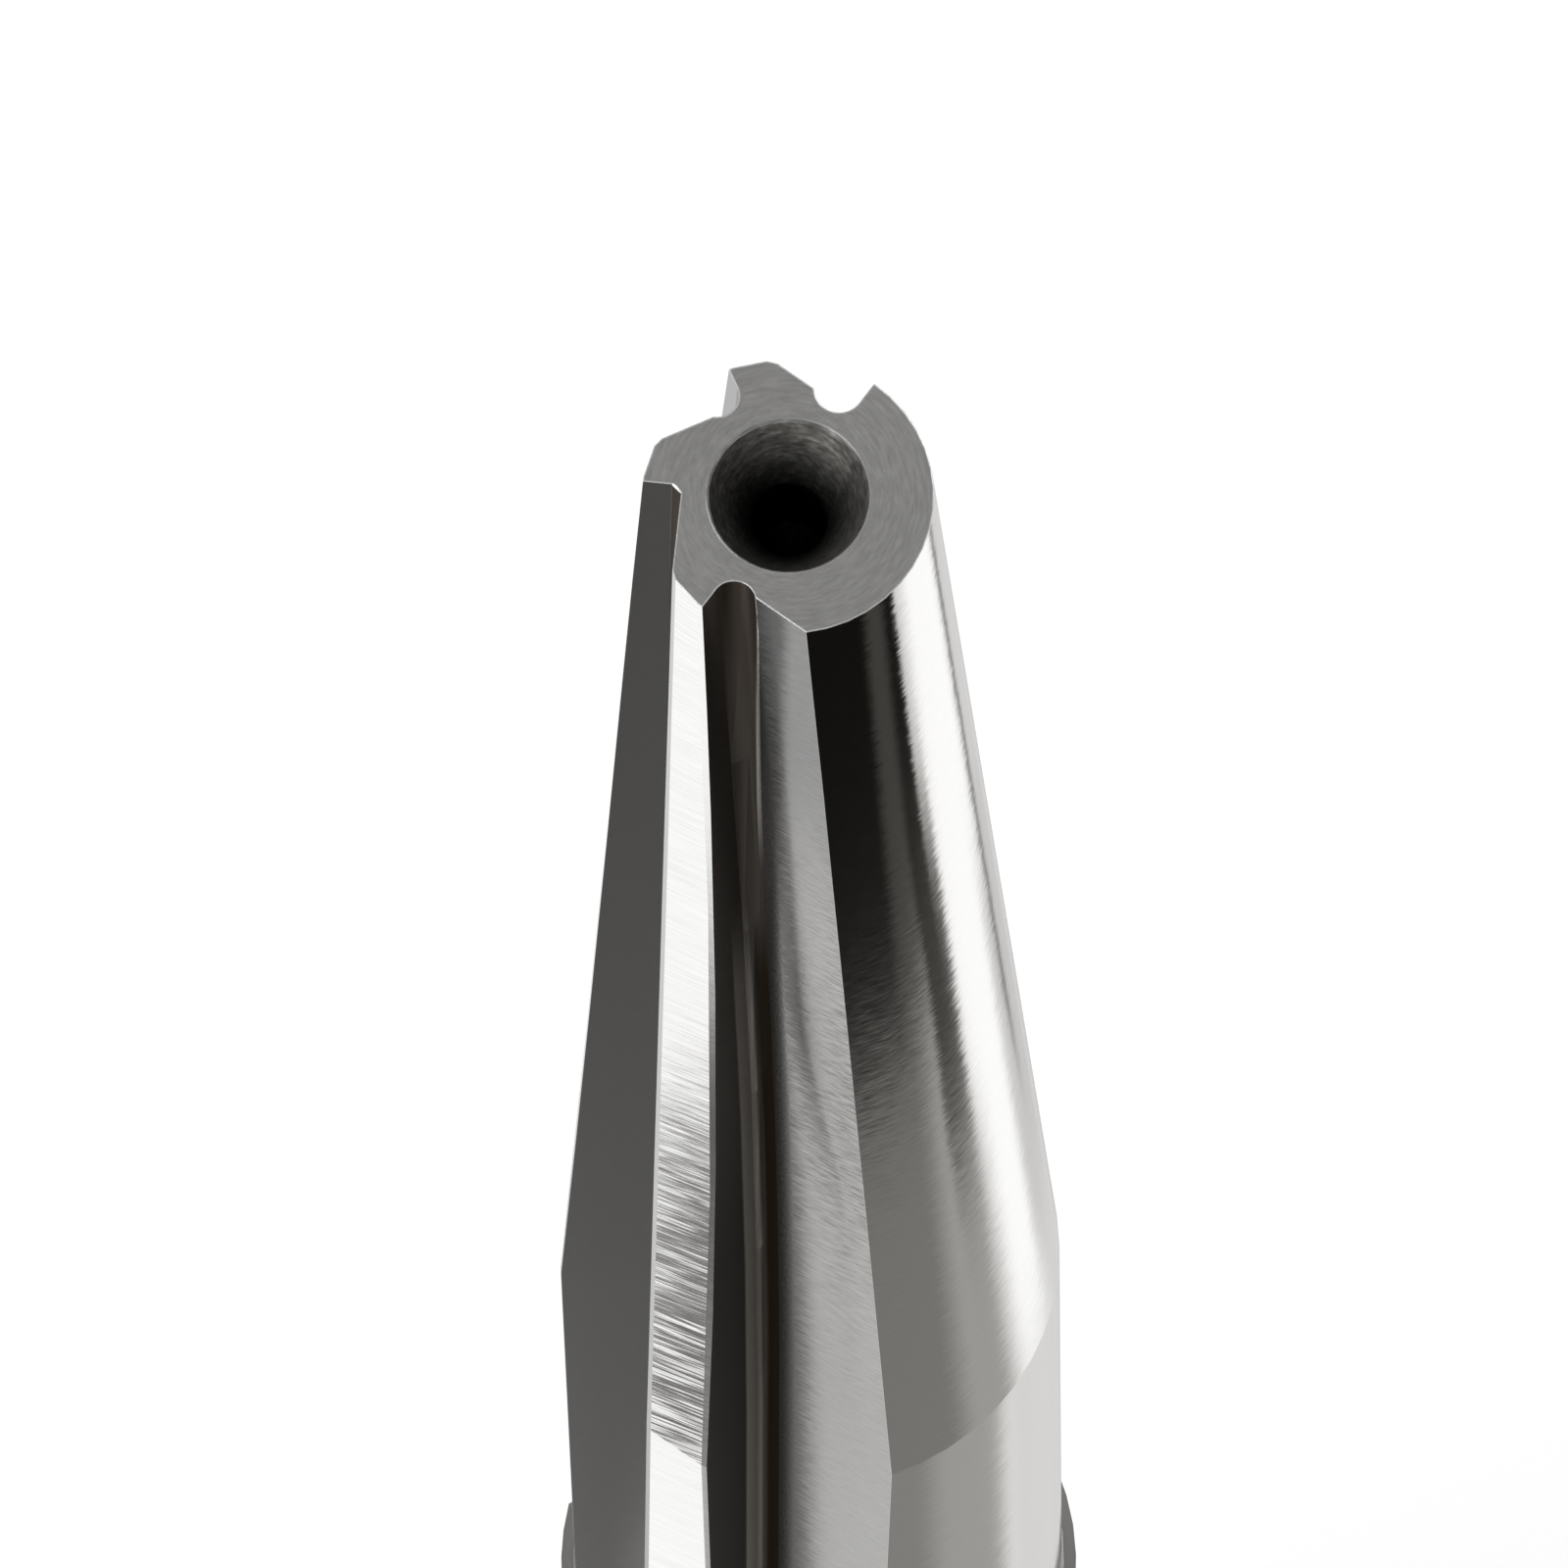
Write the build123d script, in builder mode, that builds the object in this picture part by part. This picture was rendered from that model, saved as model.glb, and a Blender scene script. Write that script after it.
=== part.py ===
from build123d import *
import os
from math import acos, asin, degrees, radians, sqrt, tan

# Endpin reamer: a taper hand reamer, turned, fluted and ground from one bar of tool steel.
# Millimetres. It stands on its driving end, with the origin at the centre of that face and
# +Z up through the small end. Angles run anticlockwise seen from the small end, which is
# also the way the teeth cut. Depths are counted down from the face of the small end.

# Turned body, from the small end to the driving end
tip_diameter = 6.6
sizing_diameter = 12.0
shank_diameter = 12.7
nose_length = 55.0
sizing_length = 24.5
shank_length = 35.5
shoulder_chamfer = 0.3

# Square for the wrench, milled on the round shank, so its corners stay round
square_length = 12.0
square_across_flats = 9.5
square_root_radius = 1.0
end_chamfer = 0.7

# Centre holes that the reamer was turned and ground between
centre_angle = 60.0
drill_point_angle = 118.0
tip_mouth_diameter = 3.7
tip_pilot_diameter = 1.75
tip_pilot_length = 2.6
end_mouth_diameter = 4.2
end_pilot_diameter = 2.0
end_pilot_length = 2.8

# Four flutes at the pitch of six leave three teeth and a broad round guide. Each flute has
# a radial rake face and a flat back square to it, which starts clear of the centre hole by
# the tip wall. The flute climbs a little all the way, and bends the way the teeth cut along
# the nose, so that the lands widen with the taper. In the shank the wheel lifts out of it.
flute_pitch = 60.0
first_edge_angle = 52.4
tip_wall = 0.56
flute_rise_angle = 1.06
flute_bend_radius = 1240.0
wheel_radius = 20.0

# Round gullet at the foot of each rake face, in the order of the flutes. They were ground
# by hand, so their radii and the dips below the flat backs differ.
gullet_radii = [0.56, 0.5, 0.22, 0.5]
gullet_dips = [0.24, 0.08, 0.0, 0.13]

# Behind its cutting edge each tooth keeps a narrow round margin, then has a flat relief,
# and a narrow flat breaks its heel
margin_width = 0.14
relief_angle = 10.0
heel_break_width = 0.13
heel_break_angle = 25.0
relief_spans = 3

# Room that a cutter takes outside the metal
clearance = 2.0

tip_radius = tip_diameter / 2
sizing_radius = sizing_diameter / 2
shank_radius = shank_diameter / 2
shank_top = square_length + shank_length
sizing_top = shank_top + sizing_length
tip_height = sizing_top + nose_length

flute_rise = tan(radians(flute_rise_angle))
back_floor = tip_mouth_diameter / 2 + tip_wall
cutter_reach = shank_radius + clearance


def body_radius(depth):
    """Radius of the ground body at a depth below the small end."""
    taper = (sizing_radius - tip_radius) / nose_length
    return tip_radius + taper * min(depth, nose_length)


def flute_shift(depth):
    """How far the flutes have bent off their radial line at a depth below the small end."""
    nose_left = max(nose_length - depth, 0)
    return sqrt(flute_bend_radius**2 - nose_left**2) - sqrt(flute_bend_radius**2 - nose_length**2)


def centre_hole(mouth_diameter, pilot_diameter, pilot_length):
    """Bore a centre hole into the face of the present location."""
    mouth = mouth_diameter / 2
    pilot = pilot_diameter / 2
    pilot_depth = (mouth - pilot) / tan(radians(centre_angle / 2)) + pilot_length
    point_length = pilot / tan(radians(drill_point_angle / 2))
    CounterSinkHole(pilot, mouth, pilot_depth, centre_angle)
    with Locations((0, 0, -pilot_depth)):
        point_align = (Align.CENTER, Align.CENTER, Align.MAX)
        Cone(0, pilot, point_length, align=point_align, mode=Mode.SUBTRACT)


def flute_cutter(gullet_radius, gullet_dip):
    """Cutter for the flute of a tooth at angle 0."""
    # Drawn where the nose meets the sizing part: x points outwards, y the way the teeth cut
    flute_plane = Plane(
        origin=(flute_rise * nose_length, flute_shift(nose_length), sizing_top),
        x_dir=(1, 0, flute_rise),
        z_dir=(-flute_rise, 0, 1),
    )
    gullet_centre = (back_floor - gullet_dip + gullet_radius, gullet_radius)
    gullet_arc = 90 + degrees(acos(1 - gullet_dip / gullet_radius))

    with BuildPart() as cutter:
        with BuildSketch(flute_plane) as profile:
            with BuildLine():
                gullet = CenterArc(gullet_centre, gullet_radius, 270, -gullet_arc)
                Polyline(
                    gullet @ 1,
                    (back_floor, cutter_reach),
                    (cutter_reach, cutter_reach),
                    (cutter_reach, 0),
                    gullet @ 0,
                )
            make_face()
        extrude(amount=-sizing_length)

        # Up the nose the flute follows its wide bend, past the small end
        bend_centre = flute_plane.from_local_coords((0, -flute_bend_radius, 0))
        bend_arc = degrees((nose_length + clearance) / flute_bend_radius)
        bend_axis = Axis(bend_centre, flute_plane.x_dir)
        revolve(profile.sketch.face(), axis=bend_axis, revolution_arc=bend_arc)

        # Down in the shank the wheel climbs out about its own axis
        lift_plane = flute_plane.offset(-sizing_length)
        wheel_centre = lift_plane.from_local_coords((back_floor + wheel_radius, 0, 0))
        wheel_axis = Axis(wheel_centre, -lift_plane.y_dir)
        lift_face = cutter.faces().sort_by(Axis.Z)[0]
        revolve(lift_face, axis=wheel_axis, revolution_arc=60)
    return cutter.part


def relief_section(depth):
    """Sketch of what the relief grinds take off a tooth at angle 0, at a depth."""
    radius = body_radius(depth)
    edge_angle = degrees(asin(flute_shift(depth) / radius))
    margin_angle = edge_angle - degrees(margin_width / radius)
    margin_end = Vector(radius, 0).rotate(Axis.Z, margin_angle)
    outward = Vector(clearance, 0).rotate(Axis.Z, margin_angle)

    # The land runs back from its margin as far as the flat back of the flute behind it
    relief_heading = margin_angle - 90 - relief_angle
    land_run = Vector(1, 0).rotate(Axis.Z, relief_heading)
    back_normal = Vector(1, 0).rotate(Axis.Z, -flute_pitch)
    back_distance = back_floor + flute_rise * depth - margin_end.dot(back_normal)
    land_width = back_distance / land_run.dot(back_normal)

    with BuildSketch(Plane.XY.offset(tip_height - depth)) as section:
        with BuildLine():
            land = PolarLine(margin_end, land_width - heel_break_width, relief_heading)
            heel_break = PolarLine(land @ 1, clearance, relief_heading - heel_break_angle)
            Polyline(heel_break @ 1, heel_break @ 1 + outward, margin_end + outward, margin_end)
        make_face()
    return section.sketch


gullets = zip(gullet_radii, gullet_dips, strict=True)
flute_cutters = [flute_cutter(radius, dip) for radius, dip in gullets]
edge_angles = [first_edge_angle + flute_pitch * flute for flute in range(len(flute_cutters))]

# Relief cutter for a tooth at angle 0, from above the small end to the shank
with BuildPart() as relief_cutter:
    nose_depths = [nose_length * span / relief_spans for span in range(1, relief_spans + 1)]
    section_depths = [-clearance, *nose_depths, nose_length + sizing_length]
    loft([relief_section(depth) for depth in section_depths], ruled=True)

# Cutter for one flat of the square, with the mill's own round at the flat's root
with BuildPart() as flat_cutter:
    with BuildSketch(Plane.XZ) as flat_profile:
        with Locations((square_across_flats / 2, square_length)):
            Rectangle(cutter_reach, square_length + clearance, align=(Align.MIN, Align.MAX))
        root_corner = flat_profile.vertices().group_by(Axis.X)[0].sort_by(Axis.Y)[-1]
        fillet(root_corner, square_root_radius)
    extrude(amount=cutter_reach, both=True)

with BuildPart() as reamer:
    # Blank turned from bar
    with BuildSketch(Plane.XZ):
        with BuildLine():
            Polyline(
                (0, 0),
                (shank_radius - end_chamfer, 0),
                (shank_radius, end_chamfer),
                (shank_radius, shank_top - shoulder_chamfer),
                (shank_radius - shoulder_chamfer, shank_top),
                (sizing_radius, shank_top),
                (sizing_radius, sizing_top),
                (tip_radius, tip_height),
                (0, tip_height),
                close=True,
            )
        make_face()
    revolve(axis=Axis.Z)

    with Locations(Plane.XY.offset(tip_height)):
        centre_hole(tip_mouth_diameter, tip_pilot_diameter, tip_pilot_length)
    with Locations(Plane.XY.rotated((180, 0, 0))):
        centre_hole(end_mouth_diameter, end_pilot_diameter, end_pilot_length)

    with PolarLocations(0, 4):
        add(flat_cutter.part, mode=Mode.SUBTRACT)

    for cutter, edge_angle in zip(flute_cutters, edge_angles, strict=True):
        with Locations(Rotation(0, 0, edge_angle)):
            add(cutter, mode=Mode.SUBTRACT)

    # The first flute's edge belongs to the guide, which stays round
    for edge_angle in edge_angles[1:]:
        with Locations(Rotation(0, 0, edge_angle)):
            add(relief_cutter.part, mode=Mode.SUBTRACT)

reamer.part.label = "reamer"
os.makedirs("parts", exist_ok=True)
export_step(reamer.part, "parts/reamer.step")
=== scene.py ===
import bpy
from math import cos, radians, sin
from mathutils import Matrix, Vector


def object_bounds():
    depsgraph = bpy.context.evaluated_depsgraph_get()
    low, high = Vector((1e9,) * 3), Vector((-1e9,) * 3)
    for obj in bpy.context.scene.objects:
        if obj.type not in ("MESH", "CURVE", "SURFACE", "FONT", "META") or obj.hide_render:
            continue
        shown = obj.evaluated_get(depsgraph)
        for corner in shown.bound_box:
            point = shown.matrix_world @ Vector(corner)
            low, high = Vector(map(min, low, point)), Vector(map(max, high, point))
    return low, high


# Endpin reamer, standing on its driving end, with +Z up through the small end. Blender
# works in metres. Places on the tool and on the card sheet are in millimetres, with the
# tool's axis in the middle, and bearings in degrees
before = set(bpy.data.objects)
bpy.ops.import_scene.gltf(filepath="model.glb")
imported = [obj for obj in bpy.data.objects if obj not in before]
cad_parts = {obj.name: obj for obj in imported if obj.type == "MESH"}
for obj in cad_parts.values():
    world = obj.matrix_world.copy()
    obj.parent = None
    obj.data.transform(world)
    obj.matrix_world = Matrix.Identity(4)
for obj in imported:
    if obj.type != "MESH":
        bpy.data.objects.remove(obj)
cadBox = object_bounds()
bpy.ops.object.select_all(action='DESELECT')
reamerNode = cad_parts["reamer"]
scene = bpy.context.scene
mmPerMetre = 1000.0
upright = (0.0, 0.0, 1.0)


def levelWay(bearing):
    # Level direction at a bearing
    return (cos(radians(bearing)), sin(radians(bearing)), 0.0)


# Short hands for the node trees. What goes into them is a number, a colour, a vector or
# another node's socket

def addNode(tree, kind, **settings):
    node = tree.nodes.new(kind)
    for key, value in settings.items():
        setattr(node, key, value)
    return node


def plug(tree, source, target):
    if isinstance(source, bpy.types.NodeSocket):
        tree.links.new(source, target)
    else:
        target.default_value = source


def plugAll(tree, sources, targets):
    for source, target in zip(sources, targets):
        plug(tree, source, target)


def maths(tree, operation, *values):
    node = addNode(tree, "ShaderNodeMath", operation=operation)
    plugAll(tree, values, node.inputs)
    return node.outputs[0]


def product(tree, *values):
    result = values[0]
    for value in values[1:]:
        result = maths(tree, 'MULTIPLY', result, value)
    return result


def largest(tree, *values):
    result = values[0]
    for value in values[1:]:
        result = maths(tree, 'MAXIMUM', result, value)
    return result


def total(tree, first, second):
    return maths(tree, 'ADD', first, second)


def difference(tree, first, second):
    return maths(tree, 'SUBTRACT', first, second)


def multiplyAdd(tree, value, factor, addend):
    return maths(tree, 'MULTIPLY_ADD', value, factor, addend)


def outside(tree, mask):
    # 1 where the mask is 0
    return difference(tree, 1.0, mask)


def above(tree, value, limit):
    return maths(tree, 'GREATER_THAN', value, limit)


def below(tree, value, limit):
    return maths(tree, 'LESS_THAN', value, limit)


def ramp(tree, value, low, high, start=0.0, end=1.0, steps='SMOOTHSTEP'):
    # Goes from start to end as the value goes from low to high
    node = addNode(tree, "ShaderNodeMapRange", interpolation_type=steps, clamp=True)
    names = ("Value", "From Min", "From Max", "To Min", "To Max")
    plugAll(tree, (value, low, high, start, end), [node.inputs[name] for name in names])
    return node.outputs["Result"]


def band(tree, value, low, high, soft):
    # 1 between low and high, with soft borders
    rise = ramp(tree, value, low - soft / 2, low + soft / 2)
    fall = ramp(tree, value, high - soft / 2, high + soft / 2, 1.0, 0.0)
    return product(tree, rise, fall)


def vectorMaths(tree, operation, *values, outlet=0):
    node = addNode(tree, "ShaderNodeVectorMath", operation=operation)
    plugAll(tree, values, node.inputs)
    return node.outputs[outlet]


def dot(tree, first, second):
    return vectorMaths(tree, 'DOT_PRODUCT', first, second, outlet=1)


def cross(tree, first, second):
    return vectorMaths(tree, 'CROSS_PRODUCT', first, second)


def unit(tree, vector):
    return vectorMaths(tree, 'NORMALIZE', vector)


def scaled(tree, vector, amount):
    node = addNode(tree, "ShaderNodeVectorMath", operation='SCALE')
    plugAll(tree, (vector, amount), (node.inputs[0], node.inputs["Scale"]))
    return node.outputs[0]


def added(tree, vector, way, amount=None):
    # The vector moved along the way, by the amount or by the way's own length
    step = way if amount is None else scaled(tree, way, amount)
    return vectorMaths(tree, 'ADD', vector, step)


def joined(tree, x, y, z):
    node = addNode(tree, "ShaderNodeCombineXYZ")
    plugAll(tree, (x, y, z), node.inputs)
    return node.outputs[0]


def split(tree, vector):
    node = addNode(tree, "ShaderNodeSeparateXYZ")
    plug(tree, vector, node.inputs[0])
    return node.outputs


# The sockets of a Mix node: its share, the two that it mixes and its result
mixSockets = {'FLOAT': (0, 2, 3, 0), 'VECTOR': (0, 4, 5, 1), 'RGBA': (0, 6, 7, 2)}


def mix(tree, kind, *values):
    node = addNode(tree, "ShaderNodeMix", data_type=kind)
    *inlets, outlet = mixSockets[kind]
    plugAll(tree, values, [node.inputs[inlet] for inlet in inlets])
    return node.outputs[outlet]


def mixValue(tree, share, first, second):
    return mix(tree, 'FLOAT', share, first, second)


def mixVector(tree, share, first, second):
    return mix(tree, 'VECTOR', share, first, second)


def mixColour(tree, share, first, second):
    return mix(tree, 'RGBA', share, first, second)


def noise(tree, vector, scale, detail, roughness):
    node = addNode(tree, "ShaderNodeTexNoise", noise_dimensions='3D')
    names = ("Vector", "Scale", "Detail", "Roughness")
    plugAll(tree, (vector, scale, detail, roughness), [node.inputs[name] for name in names])
    return node.outputs["Color"]


def newTree(name):
    material = bpy.data.materials.new(name)
    material.use_nodes = True
    material.node_tree.nodes.clear()
    return material, material.node_tree


# Sizes of the ground body that the finishes follow. The height and the shank are the
# solid's own
tipHeight = round(cadBox[1][2] * mmPerMetre, 2)
shankRadius = round(cadBox[1][0] * mmPerMetre, 2)
noseLength, sizingLength = 55.0, 24.5
body = {
    "tipHeight": tipHeight,
    "noseFoot": tipHeight - noseLength,
    "shankTop": tipHeight - noseLength - sizingLength,
    "squareTop": 12.0,
    "tipRadius": 3.3,
    "sizingRadius": 6.0,
    "shankRadius": shankRadius,
    "shoulderChamfer": 0.3,
    "tipHole": 1.86,  # just outside the mouth of each centre hole
    "endHole": 2.11,
    "firstEdge": 52.4,  # bearing of the guide's own edge
    "flutePitch": 60.0,
    "fluteFloor": 2.41,  # from the axis to a flat back, and to a gullet's top, at the tip
    "gulletTop": 2.78,
    "fluteRise": 0.0185,  # and how much farther out they are for each millimetre down
    "guideMiddle": -10.0,
}

# What tells the surfaces apart. A depth is counted in from the ground body, and under
# and over from a flute's flat back. A facing is the cosine between the surface's normal
# and the way out from the axis, or for the rake faces the way round. A match is the
# cosine of its turn against the flutes, which comes round once for each. A level is 1 on
# a level face and 0 on a wall. A slack is how far past its place a height reaches
tells = {
    "fluteDepth": 0.3,
    "backDepth": 0.004,
    "guideDepth": 0.15,
    "marginDepth": 0.03,
    "underFloor": 0.03,
    "overFloor": 0.1,
    "guideFacing": 0.97,
    "marginFacing": 0.9945,
    "runOutFacing": 0.98,
    "landFacing": 0.9,
    "heelFacing": 0.6,
    "rakeFacing": 0.85,
    "rakeMatch": 0.98,
    "backMatch": 0.985,
    "heelMatch": 0.6,
    "endLevel": 0.9,
    "wallLevel": 0.6,
    "shoulderLevel": 0.3,
    "runOutLevel": 0.1,
    "endSlack": 0.02,
    "shoulderSlack": 0.01,
    "runOutSlack": 0.05,
    "squareSlack": 0.1,
}

# Each finish: its colour, its roughness, how far its marks tilt the surface round the
# tool and along it, how steeply they climb, how much they mottle the colour, how many
# there are to the millimetre, and how short they are
finishes = {
    "bright": {"tone": (0.88, 0.872, 0.855), "rough": 0.09, "round": 0.10, "along": 0.03,
               "climb": 0.0, "mottle": 0.10, "fine": 10.0, "short": 1.0},
    "margin": {"tone": (0.86, 0.855, 0.84), "rough": 0.15, "round": 0.05, "along": 0.05,
               "climb": 0.0, "mottle": 0.2, "fine": 12.0, "short": 0.2},
    "gullet": {"tone": (0.170, 0.143, 0.118), "rough": 0.38, "round": 0.04, "along": 0.10,
               "climb": 90.0, "mottle": 0.25, "fine": 5.0, "short": 0.03},
    "rake": {"tone": (0.215, 0.215, 0.213), "rough": 0.30, "round": 0.03, "along": 0.05,
             "climb": 60.0, "mottle": 0.06, "fine": 12.0, "short": 0.1},
    "back": {"tone": (0.385, 0.378, 0.366), "rough": 0.15, "round": 0.08, "along": 0.08,
             "climb": 25.0, "mottle": 0.22, "fine": 9.0, "short": 0.2},
    "land": {"tone": (0.85, 0.845, 0.835), "rough": 0.10, "round": 0.08, "along": 0.24,
             "climb": 33.0, "mottle": 0.40, "fine": 11.0, "short": 0.035},
    "heel": {"tone": (0.43, 0.43, 0.42), "rough": 0.25, "round": 0.05, "along": 0.05,
             "climb": 0.0, "mottle": 0.2, "fine": 12.0, "short": 0.1},
    "milled": {"tone": (0.66, 0.65, 0.635), "rough": 0.28, "round": 0.06, "along": 0.12,
               "climb": 8.0, "mottle": 0.2, "fine": 7.0, "short": 0.11},
    # the shoulder chamfer is dark turned steel, darkened further with painted shade
    "shoulder": {"tone": (0.16, 0.155, 0.15), "rough": 0.30, "round": 0.05, "along": 0.10,
                 "climb": 0.0, "mottle": 0.4, "fine": 9.0, "short": 0.2},
    "turned": {"tone": (0.50, 0.495, 0.485), "rough": 0.25, "round": 0.06, "along": 0.22,
               "climb": 0.0, "mottle": 0.60, "fine": 13.0, "short": 0.5},
    "bored": {"tone": (0.38, 0.372, 0.35), "rough": 0.35, "round": 0.10, "along": 0.40,
              "climb": 0.0, "mottle": 1.6, "fine": 11.0, "short": 0.5},
}

# Heights are where a change along the tool begins and ends. A tone of one number
# multiplies the colour under it, and a glance is how much of its mirror the steel loses
# there. The end faces' rims are worn, the centre holes have painted shade that darkens them
# towards one side and with depth, and the gullet at the left is darker than the others
steel = {
    "brushing": 0.5,
    "marks": {"detail": 2.0, "roughness": 0.55},
    "topLand": {"heights": (98.0, 110.0), "marks": 0.6},
    "lowMargin": {"heights": (94.0, 106.0), "tone": 0.4},
    "rim": {"radius": 0.06, "samples": 4, "levels": (0.16, 0.985), "depth": 0.1,
            "tone": (0.92, 0.915, 0.90), "holeTone": 0.5, "holeSoft": 0.1},
    # painted shade: the centre holes are darker towards bearing 205 and with depth
    "hole": {"bearing": 205.0, "facings": (-0.9, 0.6), "tone": 0.22,
             "depths": (0.3, 2.2), "deepShade": 0.03},
    "sideGullet": {"bearing": 180.0, "facing": 0.93, "tone": 0.35, "glance": 0.4},
}

# The front flute. Widths are counted from its rake face, which bends as the cutter went,
# and outs from the top of its gullet. The gullet is stained, with a light strip on the
# side by the rake face, and ends at an edge that nears that face lower down. Along the
# edge runs a light line, a painted highlight. Then come a dark band, a painted dark
# reflection whose border wanders, and the plain flat back, ground a little hollow by the
# band, with painted shade that darkens its top and its foot
frontFlute = {
    "bearing": 232.4,
    "bend": 1240.0,
    "gullet": 0.836,
    "leastWidth": -0.05,
    "leastOut": 0.5,  # this one from the axis, to leave out the far side
    "backWidth": 0.5,
    "stain": {"top": (0.66, 0.57, 0.49), "foot": (0.52, 0.45, 0.39), "heights": (88.0, 116.0)},
    "edge": {"least": 0.30, "gain": 0.55, "heights": (108.0, 126.0)},
    "side": {"width": 0.03, "tone": 1.6, "toneHeights": (100.0, 112.0),
             "glance": 0.35, "glanceHeights": (84.0, 100.0)},
    "strip": {"width": 0.06, "outs": (-0.16, 0.45), "soft": 0.1, "heights": (101.0, 108.0),
              "tone": (0.85, 0.80, 0.73)},
    "root": {"glance": 0.6, "widths": (0.04, 0.12)},
    # painted highlight: the light line along the gullet's edge
    "line": {"width": 0.05, "heights": (108.0, 114.0), "tone": (0.90, 0.89, 0.86)},
    # painted shade: the dark band is a painted dark reflection, and its glance takes mirror off too
    "band": {"width": 0.55, "widthHeights": (100.0, 119.0), "soft": 0.5, "wander": 0.5,
             "tones": (0.06, 0.60), "toneHeights": (100.0, 115.0), "glance": 0.35},
    # painted shade: the flat back is darker at its top and at its foot
    "top": {"tone": 0.30, "heights": (104.0, 120.0)},
    "foot": {"tone": 0.70, "heights": (74.0, 92.0)},
    "hollow": {"tilt": 0.30, "widths": (0.5, 2.4), "topWidth": 1.4, "heights": (88.0, 102.0)},
}


def steelPlaces(tree):
    # Where a point lies on the tool, and which way its surface faces
    spot = scaled(tree, addNode(tree, "ShaderNodeTexCoord").outputs["Object"], mmPerMetre)
    x, y, z = split(tree, spot)
    outward = unit(tree, joined(tree, x, y, 0.0))
    onward = cross(tree, upright, outward)
    normal = addNode(tree, "ShaderNodeNewGeometry").outputs["Normal"]
    nx, ny, nz = split(tree, normal)
    return {
        "spot": spot, "z": z, "outward": outward, "onward": onward, "normal": normal,
        "radius": maths(tree, 'SQRT', total(tree, product(tree, x, x), product(tree, y, y))),
        "level": maths(tree, 'ABSOLUTE', nz),
        "levelNormal": unit(tree, joined(tree, nx, ny, 0.0)),
        "heading": maths(tree, 'ARCTAN2', ny, nx),
        "facingOut": dot(tree, normal, outward),
        "facingOn": dot(tree, normal, onward),
    }


def tapered(tree, at, atTip):
    # A distance from the axis that is atTip at the small end and grows as the flutes rise
    rise = body["fluteRise"]
    return multiplyAdd(tree, at["z"], -rise, atTip + body["tipHeight"] * rise)


def steelMasks(tree, at):
    # Which finish a point has. Also notes in at what is on the guide, and what is no end
    # face or shoulder
    z, facingOut = at["z"], at["facingOut"]
    shankTop = body["shankTop"]
    inShank = below(tree, z, shankTop)
    aboveShank = above(tree, z, shankTop)
    nose = ramp(tree, z, body["noseFoot"], body["tipHeight"], body["sizingRadius"], body["tipRadius"],
                'LINEAR')
    ground = mixValue(tree, inShank, nose, body["shankRadius"])
    depth = difference(tree, ground, at["radius"])
    inFlute = above(tree, depth, tells["fluteDepth"])
    onOuter = below(tree, depth, tells["fluteDepth"])

    # The round that was ground on the guide and shank, and narrowly on the teeth
    onTooth = below(tree, dot(tree, at["outward"], levelWay(body["guideMiddle"])), 0.0)
    leastFacing = mixValue(tree, onTooth, tells["guideFacing"], tells["marginFacing"])
    mostDepth = mixValue(tree, onTooth, tells["guideDepth"], tells["marginDepth"])
    roundGround = product(tree, above(tree, facingOut, leastFacing), below(tree, depth, mostDepth))
    at["guide"] = product(tree, roundGround, outside(tree, onTooth))

    # How a surface is turned against the flutes, and how far it is off their flat backs
    fromEdge = difference(tree, at["heading"], radians(body["firstEdge"]))
    match = maths(tree, 'COSINE', product(tree, fromEdge, 360.0 / body["flutePitch"]))
    offFloor = difference(tree, dot(tree, at["spot"], at["levelNormal"]),
                          tapered(tree, at, body["fluteFloor"]))
    lifted = product(tree, inShank, below(tree, facingOut, tells["runOutFacing"]))
    onFloor = product(tree, above(tree, offFloor, -tells["underFloor"]),
                      largest(tree, below(tree, offFloor, tells["overFloor"]), lifted))

    # The end faces, the shoulder, the run-outs of the flutes and the square
    nearEnd = largest(tree, above(tree, z, body["tipHeight"] - tells["endSlack"]),
                      below(tree, z, shankTop + tells["endSlack"]))
    at["wall"] = outside(tree, product(tree, nearEnd, above(tree, at["level"], tells["wallLevel"])))
    chamferFoot = shankTop - body["shoulderChamfer"]
    atShoulder = product(tree, above(tree, z, chamferFoot - tells["shoulderSlack"]),
                         below(tree, z, shankTop + tells["shoulderSlack"]))
    runOut = product(tree, inShank, below(tree, z, chamferFoot - tells["runOutSlack"]),
                     above(tree, at["level"], tells["runOutLevel"]))
    aboveSquare = above(tree, z, body["squareTop"] + tells["squareSlack"])
    notRound = largest(tree, below(tree, facingOut, tells["marginFacing"]), inFlute)
    hole = mixValue(tree, inShank, body["tipHole"], body["endHole"])

    # In the order in which they are laid over each other
    return {
        "gullet": product(tree, largest(tree, inFlute, runOut), at["wall"], aboveSquare),
        "rake": product(tree, below(tree, match, -tells["rakeMatch"]),
                        above(tree, at["facingOn"], tells["rakeFacing"])),
        "back": product(tree, above(tree, match, tells["backMatch"]),
                        above(tree, depth, tells["backDepth"]), onFloor),
        "land": product(tree, above(tree, facingOut, tells["landFacing"]), onOuter),
        "heel": product(tree, below(tree, match, -tells["heelMatch"]),
                        above(tree, facingOut, tells["heelFacing"]), onOuter, aboveShank),
        "bright": roundGround,
        "margin": product(tree, roundGround, onTooth, aboveShank),
        "milled": product(tree, outside(tree, aboveSquare), notRound),
        # the shoulder's dark tone is partly painted shade
        "shoulder": product(tree, atShoulder, above(tree, at["level"], tells["shoulderLevel"])),
        "turned": product(tree, nearEnd, above(tree, at["level"], tells["endLevel"])),
        "bored": below(tree, at["radius"], hole),
    }


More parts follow.
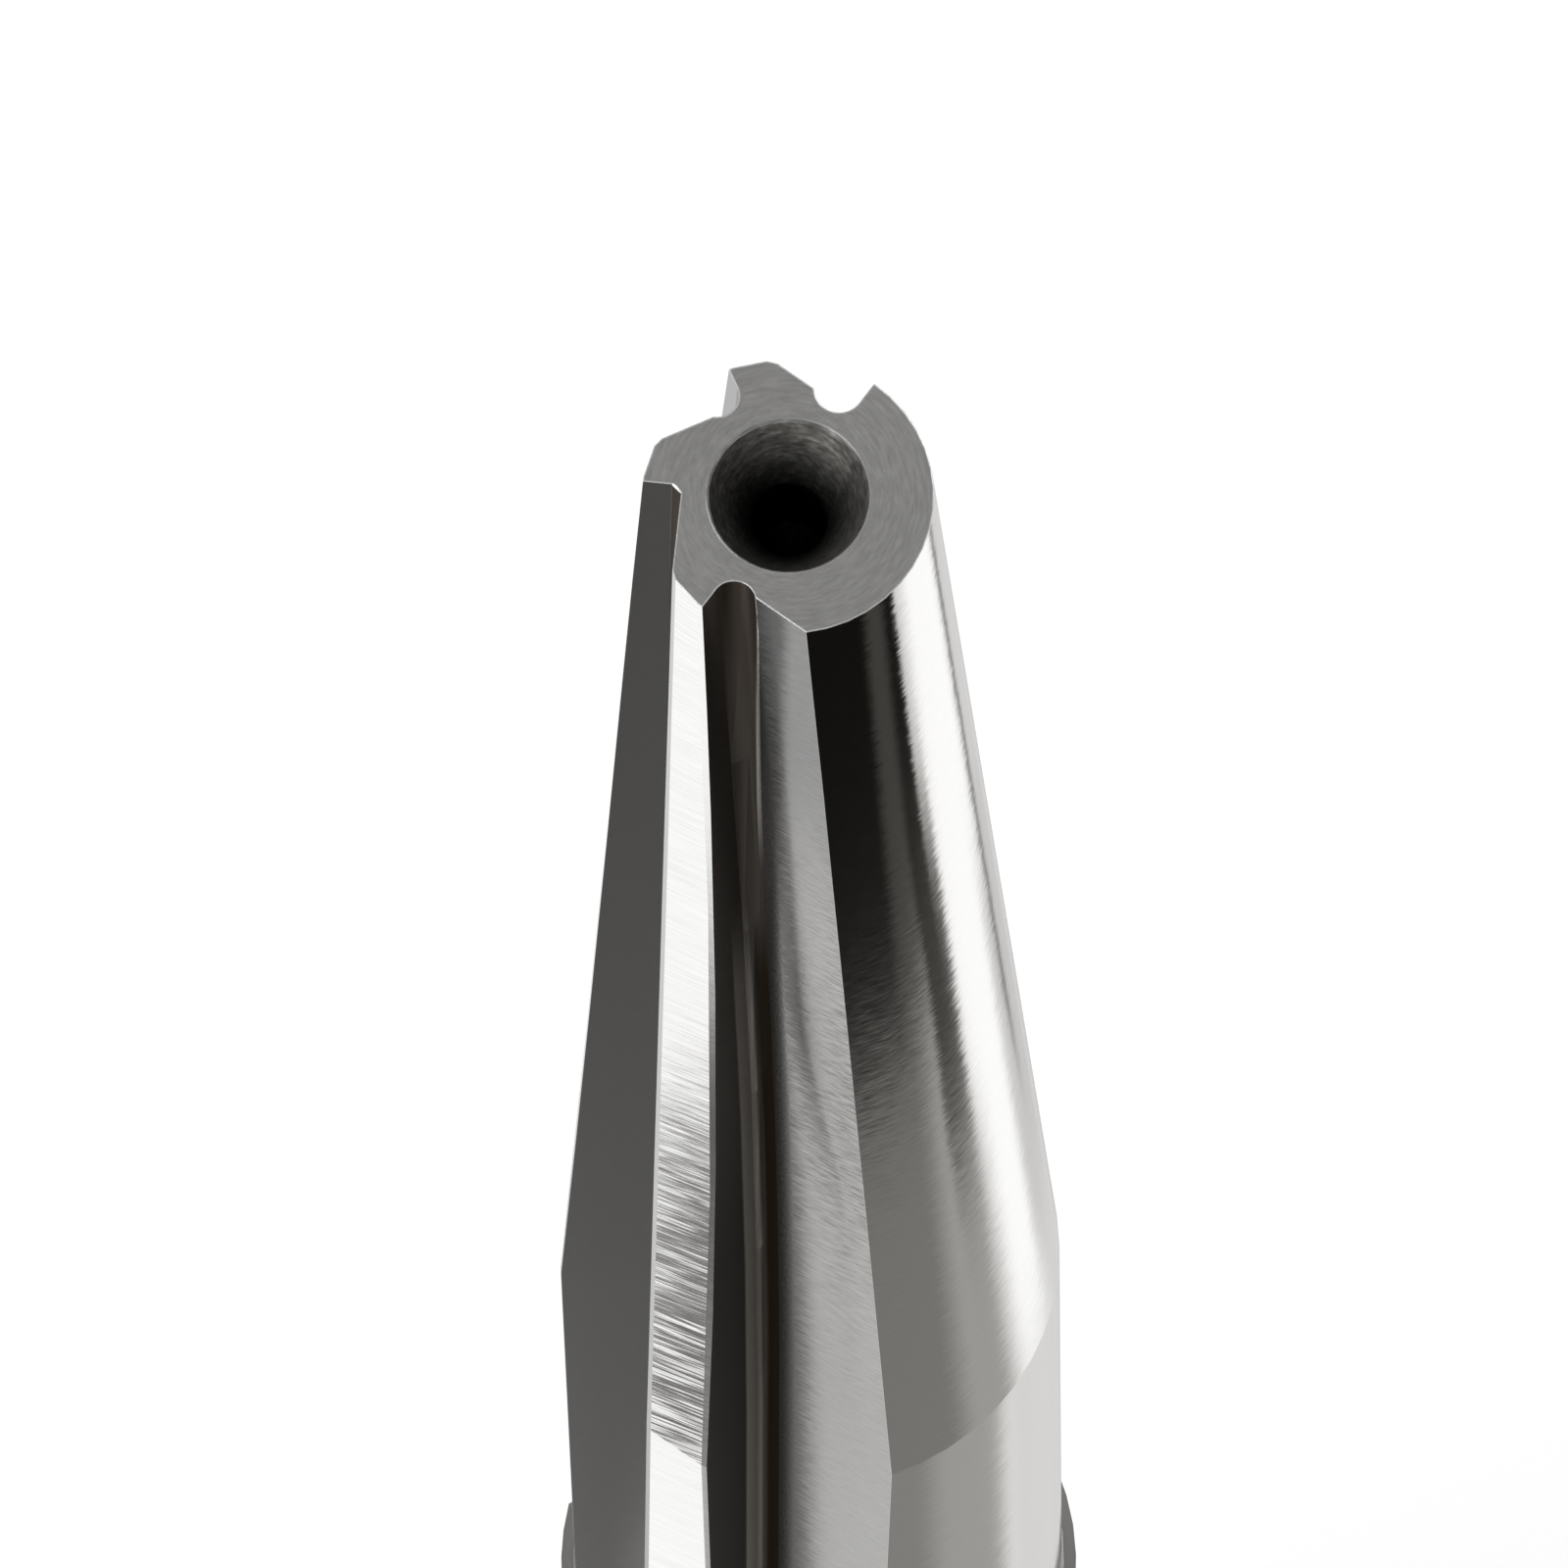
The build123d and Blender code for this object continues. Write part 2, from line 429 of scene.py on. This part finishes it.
def frontFluteParts(tree, at, masks):
    # How far a point lies from the flute's rake face and from the top of its gullet, and
    # which part of the flute it is on
    out = dot(tree, at["spot"], levelWay(frontFlute["bearing"]))
    side = dot(tree, at["spot"], levelWay(frontFlute["bearing"] + 90.0))
    noseLeft = largest(tree, difference(tree, at["z"], body["noseFoot"]), 0.0)
    bend = 0.5 / frontFlute["bend"]
    bent = multiplyAdd(tree, product(tree, noseLeft, noseLeft), -bend, bend * noseLength ** 2)
    width = difference(tree, side, bent)

    high = ramp(tree, at["z"], *frontFlute["edge"]["heights"], steps='LINEAR')
    edge = multiplyAdd(tree, product(tree, high, high), frontFlute["edge"]["gain"],
                       frontFlute["edge"]["least"])
    elsewhere = largest(tree, masks["land"], masks["bored"])
    inside = product(tree, above(tree, out, frontFlute["leastOut"]),
                     above(tree, width, frontFlute["leastWidth"]), at["wall"],
                     above(tree, at["z"], body["shankTop"]), outside(tree, elsewhere))
    pastEdge = product(tree, inside, below(tree, width, frontFlute["gullet"]), above(tree, width, edge))
    back = product(tree, inside, masks["back"], above(tree, width, frontFlute["backWidth"]))
    return {
        "width": width, "edge": edge, "pastEdge": pastEdge,
        "out": difference(tree, out, tapered(tree, at, body["gulletTop"])),
        "root": product(tree, inside, below(tree, width, edge)),
        "back": largest(tree, back, pastEdge),
    }


def stainGullet(tree, at, flute, tone):
    # The front gullet's colour, and how much of its mirror it has lost
    z, width, root = at["z"], flute["width"], flute["root"]
    stain, side, strip = frontFlute["stain"], frontFlute["side"], frontFlute["strip"]
    low = ramp(tree, z, *stain["heights"], 1.0, 0.0)
    stained = mixColour(tree, low, (*stain["top"], 1.0), (*stain["foot"], 1.0))
    tone = mixVector(tree, root, tone, vectorMaths(tree, 'MULTIPLY', tone, stained))

    onSide = product(tree, root, below(tree, width, side["width"]))
    sideTone = ramp(tree, z, *side["toneHeights"], 1.0, side["tone"])
    tone = scaled(tree, tone, mixValue(tree, onSide, 1.0, sideTone))

    lowDown = ramp(tree, z, *strip["heights"], 1.0, 0.0)
    onStrip = product(tree, root, lowDown, below(tree, width, strip["width"]),
                      band(tree, flute["out"], *strip["outs"], strip["soft"]))
    tone = mixVector(tree, onStrip, tone, strip["tone"])

    sideLost = product(tree, onSide, ramp(tree, z, *side["glanceHeights"], side["glance"], 0.0))
    rootGlance = ramp(tree, width, *frontFlute["root"]["widths"], 0.0, frontFlute["root"]["glance"])
    rootLost = product(tree, root, lowDown, rootGlance)
    return tone, product(tree, total(tree, sideLost, rootLost), outside(tree, onStrip))


def paintShadeAndGlintPastEdge(tree, at, flute, tone, lost, wander):
    # The painted highlight of the light line, and the painted shade of the dark band and of the flat
    # back's top and foot, past the front gullet's edge
    z, width = at["z"], flute["width"]
    line, dark, top, foot = (frontFlute[part] for part in ("line", "band", "top", "foot"))
    wandered = multiplyAdd(tree, wander, dark["wander"], width)
    begins = multiplyAdd(tree, ramp(tree, z, *dark["widthHeights"]), dark["width"], flute["edge"])
    plain = ramp(tree, wandered, begins, total(tree, begins, dark["soft"]))
    # painted shade on the flat back: the dark band, and the darker top and foot
    shade = mixValue(tree, plain, ramp(tree, z, *dark["toneHeights"], *dark["tones"]), 1.0)
    shade = product(tree, shade, ramp(tree, z, *top["heights"], 1.0, top["tone"]),
                    ramp(tree, z, *foot["heights"], foot["tone"], 1.0))
    tone = scaled(tree, tone, mixValue(tree, flute["back"], 1.0, shade))

    # painted highlight: the light line along the gullet's edge
    offLine = maths(tree, 'ABSOLUTE', difference(tree, width, flute["edge"]))
    onGlintLine = product(tree, largest(tree, flute["root"], flute["pastEdge"]),
                     below(tree, offLine, line["width"]), ramp(tree, z, *line["heights"]))
    tone = mixVector(tree, onGlintLine, tone, line["tone"])
    bandShadeLost = product(tree, flute["back"], outside(tree, plain), dark["glance"])
    return tone, total(tree, lost, bandShadeLost)


def darkenSideGullet(tree, at, masks, tone, lost):
    # The gullet at the left is darker, and has lost some of its mirror
    side = steel["sideGullet"]
    onSide = above(tree, dot(tree, at["outward"], levelWay(side["bearing"])), side["facing"])
    others = [outside(tree, masks[name]) for name in ("rake", "back", "bored")]
    inside = product(tree, onSide, masks["gullet"], *others)
    tone = scaled(tree, tone, mixValue(tree, inside, 1.0, side["tone"]))
    return tone, multiplyAdd(tree, inside, side["glance"], lost)


def shadeEnds(tree, at, masks, rim, tone):
    # Painted shade down the centre holes, darker towards one side and with depth, and bright on the worn
    # rims of the end faces
    hole, worn = steel["hole"], steel["rim"]
    fromEnd = maths(tree, 'MINIMUM', at["z"], difference(tree, body["tipHeight"], at["z"]))
    facing = dot(tree, at["outward"], levelWay(hole["bearing"]))
    shade = product(tree, ramp(tree, facing, *hole["facings"], 1.0, hole["tone"]),
                    ramp(tree, fromEnd, *hole["depths"], 1.0, hole["deepShade"]))
    tone = scaled(tree, tone, mixValue(tree, masks["bored"], 1.0, shade))
    mouth = body["endHole"]
    rimShade = ramp(tree, at["radius"], mouth, mouth + worn["holeSoft"], worn["holeTone"], 1.0)
    atEnd = product(tree, rim, below(tree, fromEnd, worn["depth"]))
    return mixVector(tree, atEnd, tone, scaled(tree, worn["tone"], rimShade))


def smoothGuide(tree, at):
    # The guide is one smooth round, so its faces turn as a cone and a cylinder do
    taper = (body["sizingRadius"] - body["tipRadius"]) / noseLength
    lean = product(tree, above(tree, at["z"], body["noseFoot"]), taper)
    smooth = unit(tree, added(tree, at["outward"], joined(tree, 0.0, 0.0, lean)))
    return mixVector(tree, at["guide"], at["normal"], smooth)


def readFinish(name):
    finish = dict(finishes[name])
    climb = radians(finish["climb"])
    finish["tone"] = (*finish["tone"], 1.0)
    finish["climbCos"], finish["climbSin"] = cos(climb), sin(climb)
    return finish


def layFinishes(tree, masks):
    # The finishes, each laid over those before it
    laid = readFinish("bright")
    for name, mask in masks.items():
        finish = readFinish(name)
        laid["tone"] = mixColour(tree, mask, laid["tone"], finish["tone"])
        for part in ("rough", "round", "along", "mottle", "fine", "short", "climbCos", "climbSin"):
            laid[part] = mixValue(tree, mask, laid[part], finish[part])
    return laid


def drawMarks(tree, at, masks, laid):
    # The line along the marks, the line across them, and how they vary. Marks start from
    # the level line of the surface and the line that climbs it, which on an end face are
    # the circle and the radius
    levelLine = unit(tree, cross(tree, upright, at["normal"]))
    levelLine = mixVector(tree, masks["turned"], levelLine, at["onward"])
    climbLine = cross(tree, at["normal"], levelLine)
    markLine = added(tree, scaled(tree, levelLine, laid["climbCos"]), climbLine, laid["climbSin"])
    crossLine = cross(tree, at["normal"], markLine)

    # They run round the turned and ground surfaces, and straight across the flat ones
    across = mixValue(tree, largest(tree, masks["bright"], masks["bored"]),
                      dot(tree, at["spot"], crossLine), at["z"])
    straight = product(tree, dot(tree, at["spot"], markLine), laid["short"])
    flat = joined(tree, straight, 0.0, across)
    ringed = added(tree, scaled(tree, at["outward"], laid["short"]), joined(tree, 0.0, 0.0, across))
    circled = largest(tree, masks["bright"], masks["turned"], masks["bored"])
    marks = noise(tree, mixVector(tree, circled, flat, ringed), laid["fine"],
                  steel["marks"]["detail"], steel["marks"]["roughness"])
    return markLine, crossLine, split(tree, vectorMaths(tree, 'SUBTRACT', marks, (0.5, 0.5, 0.5)))


def wearRims(tree):
    # The rims of the end faces are worn round, and the side edges stay sharp
    bevel = addNode(tree, "ShaderNodeBevel", samples=steel["rim"]["samples"])
    bevel.inputs["Radius"].default_value = steel["rim"]["radius"] / mmPerMetre
    worn = bevel.outputs[0]
    level = maths(tree, 'ABSOLUTE', split(tree, worn)[2])
    least, most = steel["rim"]["levels"]
    return worn, product(tree, above(tree, level, least), below(tree, level, most))


def hollowFlute(tree, at, flute):
    # The front flute's flat back starts at the gullet's edge, and leans by the dark band
    front = frontFlute["bearing"]
    hollow = frontFlute["hollow"]
    begins, ends = hollow["widths"]
    ends = ramp(tree, at["z"], *hollow["heights"], ends, hollow["topWidth"])
    tilt = ramp(tree, flute["width"], begins, ends, hollow["tilt"], 0.0, 'LINEAR')
    flatBack = (*levelWay(front)[:2], body["fluteRise"])
    flattened = mixVector(tree, flute["pastEdge"], at["normal"], flatBack)
    return added(tree, flattened, levelWay(front + 90.0), product(tree, flute["back"], tilt))


def makeSteel():
    material, tree = newTree("groundToolSteel")
    at = steelPlaces(tree)
    masks = steelMasks(tree, at)
    flute = frontFluteParts(tree, at, masks)
    masks["back"] = largest(tree, masks["back"], flute["pastEdge"])
    at["normal"] = smoothGuide(tree, at)
    laid = layFinishes(tree, masks)
    markLine, crossLine, tilts = drawMarks(tree, at, masks, laid)

    # The marks tilt the surface, and less so on the lands near the small end
    topLand = steel["topLand"]
    gentle = ramp(tree, at["z"], *topLand["heights"], 1.0, topLand["marks"])
    gentle = mixValue(tree, masks["land"], 1.0, gentle)
    worn, rim = wearRims(tree)
    tilted = mixVector(tree, rim, hollowFlute(tree, at, flute), worn)
    tilted = added(tree, tilted, markLine, product(tree, tilts[0], laid["round"]))
    tilted = added(tree, tilted, crossLine, product(tree, tilts[1], laid["along"], gentle))

    # They mottle its colour too, and over that come the front gullet's stain, the front
    # flute's painted highlight and painted shade, the darker gullet at the left, the painted
    # shade in the centre holes and the worn rims of the end faces
    lowMargin = steel["lowMargin"]
    marginTone = ramp(tree, at["z"], *lowMargin["heights"], lowMargin["tone"], 1.0)
    tone = scaled(tree, laid["tone"], multiplyAdd(tree, tilts[2], laid["mottle"], 1.0))
    tone = scaled(tree, tone, mixValue(tree, masks["margin"], 1.0, marginTone))
    tone, lost = stainGullet(tree, at, flute, tone)
    tone, lost = paintShadeAndGlintPastEdge(tree, at, flute, tone, lost, tilts[0])
    tone, lost = darkenSideGullet(tree, at, masks, tone, lost)
    tone = shadeEnds(tree, at, masks, rim, tone)

    shader = addNode(tree, "ShaderNodeBsdfPrincipled")
    shader.inputs["Metallic"].default_value = 1.0
    shader.inputs["Anisotropic"].default_value = steel["brushing"]
    mirror = outside(tree, lost)
    plug(tree, tone, shader.inputs["Base Color"])
    plug(tree, joined(tree, mirror, mirror, mirror), shader.inputs["Specular Tint"])
    plug(tree, laid["rough"], shader.inputs["Roughness"])
    plug(tree, unit(tree, tilted), shader.inputs["Normal"])
    plug(tree, crossLine, shader.inputs["Tangent"])
    plug(tree, shader.outputs[0], addNode(tree, "ShaderNodeOutputMaterial").inputs[0])
    return material


reamerNode.data.materials[0] = makeSteel()
print("steel finished")

# Camera: a long lens that looks down on the small end. Right and up are its picture's
# own directions
cameraSetup = {
    "place": (0.0, -0.270916, 0.902823),
    "right": (0.99959354, -0.02687671, -0.00950765),
    "up": (0.02850678, 0.94629619, 0.32204173),
    "lens": 835.466,
    "sensor": 36.0,
    "clip": (0.05, 20.0),
}


def placeCamera():
    data = bpy.data.cameras.new("camera")
    camera = bpy.data.objects.new("camera", data)
    scene.collection.objects.link(camera)
    right, up = Vector(cameraSetup["right"]), Vector(cameraSetup["up"])
    turn = Matrix((right, up, right.cross(up))).transposed()
    camera.matrix_world = Matrix.Translation(cameraSetup["place"]) @ turn.to_4x4()
    data.lens, data.sensor_width = cameraSetup["lens"], cameraSetup["sensor"]
    data.clip_start, data.clip_end = cameraSetup["clip"]
    scene.camera = camera


placeCamera()
print("camera placed")

# Pale floor, and over it a sheet with grey and black cards that only the steel shows. The
# sheet glows, though it is no lamp, and its cards are painted reflections for the steel,
# with a painted shadow round the tool's foot. A card lies in a sector of bearings, between
# two distances from the axis, and its borders are soft by so many degrees and so many
# millimetres
roundSides = 96
floorSetup = {"radius": 4.0, "colour": 0.8, "glow": 0.38}
cardSheet = {"radius": 0.9, "height": 0.0003, "tone": 1.06, "warmth": (1.0, 1.02, 1.05)}

# For a card without a border on one side: past every distance, and past every bearing
innermost, outermost, lastBearing = -10.0, 1000.0, 400.0
cards = {
    "glaze": {"sector": (-132, -3), "distance": (43, outermost), "soft": (14, 3), "tone": 0.76},
    "haze": {"sector": (-132, 2), "distance": (innermost, 41), "soft": (24, 3), "tone": 0.40},
    "shade": {"sector": (-132, -4), "distance": (innermost, 47.5), "soft": (12, 3), "tone": 0.355},
    "grey": {"sector": (-132, -28), "distance": (32.5, outermost), "soft": (16, 2), "tone": 0.195},
    # painted shadow: the tool's own shade on the floor round its foot, as the steel reflects it
    "foot": {"sector": (0, lastBearing), "distance": (innermost, 31), "soft": (26, 4), "tone": 0.70},
    # painted shadow: deeper shade round the foot on the front side, as the steel reflects it
    "footShade": {"sector": (-132, -40), "distance": (innermost, 32.5), "soft": (18, 2), "tone": 0.235},
    "dusk": {"sector": (38, 84), "distance": (innermost, outermost), "soft": (13, 4), "tone": 0.68},
    "lowDusk": {"sector": (30, 62), "distance": (31, 42.5), "soft": (12, 3), "tone": 0.60},
    "black": {"sector": (-84, -12.5), "distance": (47.3, outermost), "soft": (3, 2), "tone": 0.004},
    "streak": {"sector": (-38, -23), "distance": (47, outermost), "soft": (9, 2), "tone": 0.05},
    "tongue": {"sector": (-19.5, -3.5), "distance": (41.5, 51), "soft": (5, 4), "tone": 0.05},
    "spot": {"sector": (40, 45), "distance": (36, 70), "soft": (3, 4), "tone": 0.08},
}

# One more is straight. It lies along a line at its own bearing, and shows in the front
# tooth's land
landCard = {"bearing": 11.3, "along": (-43.8, -33.0), "across": (-60.0, -9.8), "soft": (3.0, 1.0),
            "tone": 0.12}


def layFloor():
    bpy.ops.mesh.primitive_circle_add(vertices=roundSides, radius=floorSetup["radius"], fill_type='NGON')
    floor = bpy.context.object
    floor.name = "floor"
    material, tree = newTree("paleFloor")
    rays = addNode(tree, "ShaderNodeLightPath").outputs
    seen = largest(tree, rays["Is Camera Ray"], rays["Is Glossy Ray"], rays["Is Transmission Ray"])
    glow = addNode(tree, "ShaderNodeEmission")
    plug(tree, product(tree, seen, floorSetup["glow"]), glow.inputs["Strength"])
    diffuse = addNode(tree, "ShaderNodeBsdfDiffuse")
    diffuse.inputs["Color"].default_value = (*[floorSetup["colour"]] * 3, 1.0)
    both = addNode(tree, "ShaderNodeAddShader")
    plugAll(tree, (diffuse.outputs[0], glow.outputs[0]), both.inputs)
    plug(tree, both.outputs[0], addNode(tree, "ShaderNodeOutputMaterial").inputs[0])
    floor.data.materials.append(material)


def layCards():
    bpy.ops.object.select_all(action='DESELECT')
    bpy.ops.mesh.primitive_circle_add(vertices=roundSides, radius=cardSheet["radius"], fill_type='NGON',
                                      location=(0, 0, cardSheet["height"]))
    bpy.ops.object.transform_apply(location=True)
    sheet = bpy.context.object
    sheet.name = "cardSheet"
    material, tree = newTree("cardTones")
    spot = scaled(tree, addNode(tree, "ShaderNodeTexCoord").outputs["Object"], mmPerMetre)
    x, y, _ = split(tree, spot)
    distance = maths(tree, 'SQRT', total(tree, product(tree, x, x), product(tree, y, y)))
    bearing = maths(tree, 'DEGREES', maths(tree, 'ARCTAN2', y, x))
    tone = cardSheet["tone"]
    for card in cards.values():
        turnSoft, edgeSoft = card["soft"]
        laid = product(tree, band(tree, bearing, *card["sector"], turnSoft),
                       band(tree, distance, *card["distance"], edgeSoft))
        tone = mixValue(tree, laid, tone, card["tone"])
    along = dot(tree, spot, levelWay(landCard["bearing"]))
    across = dot(tree, spot, levelWay(landCard["bearing"] + 90.0))
    endSoft, sideSoft = landCard["soft"]
    laid = product(tree, band(tree, along, *landCard["along"], endSoft),
                   band(tree, across, *landCard["across"], sideSoft))
    tone = mixValue(tree, laid, tone, landCard["tone"])
    warm = [maths(tree, 'POWER', tone, power) for power in cardSheet["warmth"]]
    glow = addNode(tree, "ShaderNodeEmission")
    plug(tree, joined(tree, *warm), glow.inputs["Color"])
    plug(tree, glow.outputs[0], addNode(tree, "ShaderNodeOutputMaterial").inputs[0])
    sheet.data.materials.append(material)
    for kind in ("camera", "diffuse", "shadow", "transmission"):
        setattr(sheet, "visible_" + kind, False)


layFloor()
layCards()
print("floor and cards laid")

# Soft lamps, and a plain world that is white to the camera. In the steel its wall fades
# to the ceiling as it rises
lamps = {
    "softRight": {"bearing": 42.0, "height": 32.0, "distance": 1.2, "size": 0.7, "power": 2.7},
    "softLeft": {"bearing": -148.0, "height": 32.0, "distance": 1.2, "size": 0.7, "power": 2.7},
}
worldSetup = {"fill": 0.65, "wall": 1.0, "ceiling": 0.42, "rise": (0.35, 0.88)}


def hangLamp(name, lamp):
    data = bpy.data.lights.new(name, 'AREA')
    data.size, data.energy = lamp["size"], lamp["power"]
    lampObject = bpy.data.objects.new(name, data)
    scene.collection.objects.link(lampObject)
    height = radians(lamp["height"])
    way = Vector(levelWay(lamp["bearing"])) * cos(height) + Vector(upright) * sin(height)
    turn = way.to_track_quat('Z', 'Y').to_matrix().to_4x4()
    lampObject.matrix_world = Matrix.Translation(way * lamp["distance"]) @ turn


def makeWorld():
    world = bpy.data.worlds.new("studio")
    scene.world = world
    world.use_nodes = True
    tree = world.node_tree
    tree.nodes.clear()
    rays = addNode(tree, "ShaderNodeLightPath").outputs
    rise = split(tree, addNode(tree, "ShaderNodeTexCoord").outputs["Generated"])[2]
    shown = ramp(tree, rise, *worldSetup["rise"], worldSetup["wall"], worldSetup["ceiling"])
    level = mixValue(tree, rays["Is Glossy Ray"], worldSetup["fill"], shown)
    level = mixValue(tree, rays["Is Camera Ray"], level, 1.0)
    background = addNode(tree, "ShaderNodeBackground")
    background.inputs["Color"].default_value = (1.0, 1.0, 1.0, 1.0)
    plug(tree, level, background.inputs["Strength"])
    plug(tree, background.outputs[0], addNode(tree, "ShaderNodeOutputWorld").inputs[0])


for name, lamp in lamps.items():
    hangLamp(name, lamp)
makeWorld()
scene.view_settings.view_transform = 'Standard'
print("light set")
